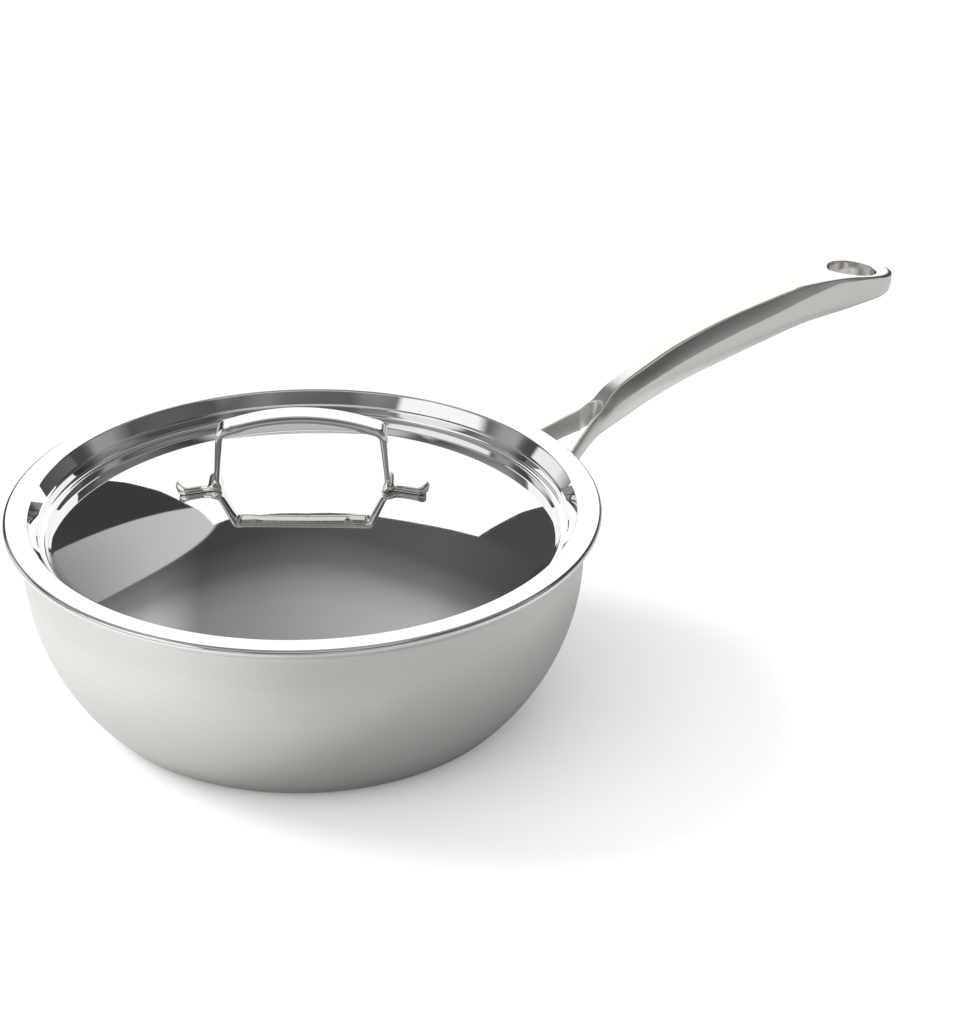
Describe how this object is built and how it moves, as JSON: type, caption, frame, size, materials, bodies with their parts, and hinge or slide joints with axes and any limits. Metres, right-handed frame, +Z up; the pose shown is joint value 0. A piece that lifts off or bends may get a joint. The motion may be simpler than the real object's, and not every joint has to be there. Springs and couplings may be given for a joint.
{
  "type": "saucier pan with lid",
  "caption": "Round-bellied saucier pan in clad steel, with a long forked handle that ends in a hanging hole, and a domed lift-off lid with an arched strap handle.",
  "frame": {"origin": "centre of the base's flat underside, where the pan stands", "axes": "+Z up, +X along the long handle from the pan's axis to the handle's end"},
  "size_m": [0.4362, 0.252, 0.1339],
  "materials": {
    "brushed_steel": "magnetic stainless steel, satin brushed round the pan",
    "satin_steel": "stainless steel cooking face, fine satin",
    "mirror_steel": "stainless steel sheet, mirror polished",
    "polished_steel": "cast stainless steel, polished",
    "weld_steel": "stainless weld, dull",
    "bond_aluminium": "soft bonding aluminium, plain",
    "core_aluminium": "aluminium alloy core, plain"
  },
  "bodies": {
    "pan": {"outer_steel_ply": "brushed_steel", "outer_bond_ply": "bond_aluminium", "alloy_core_ply": "core_aluminium", "inner_bond_ply": "bond_aluminium", "inner_steel_ply": "satin_steel", "long_handle": "polished_steel", "handle_welds": "weld_steel"},
    "lid": {"lid_shell": "mirror_steel", "lid_handle": "polished_steel", "lid_welds": "weld_steel"}
  },
  "joints": [
    {"name": "lid_lift", "type": "slide", "parent": "pan", "child": "lid", "axis": [0, 0, 1], "range_m": [0, 0.12]}
  ]
}
